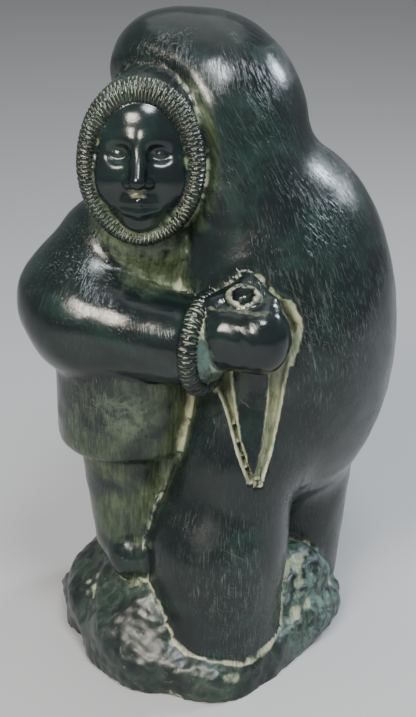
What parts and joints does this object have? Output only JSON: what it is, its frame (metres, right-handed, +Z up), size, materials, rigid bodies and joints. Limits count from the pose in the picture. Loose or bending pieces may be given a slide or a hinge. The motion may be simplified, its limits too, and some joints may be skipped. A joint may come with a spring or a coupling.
{
  "type": "resin hunter sculpture",
  "caption": "Carved-look resin group of a hunter in a fur-trimmed parka with a knife, standing on a rock in front of a large bear-like animal.",
  "frame": {"origin": "on the flat underside of the rock, below the middle of the group", "axes": "+Z up, the hunter faces -Y, +X to the viewer's right"},
  "size_m": [0.1633, 0.1377, 0.2803],
  "materials": {
    "resin": "polished dark green cast resin in the look of carved stone, paler in the grooves"
  },
  "bodies": {
    "root": {"hunter_and_bear": "resin"}
  },
  "joints": []
}
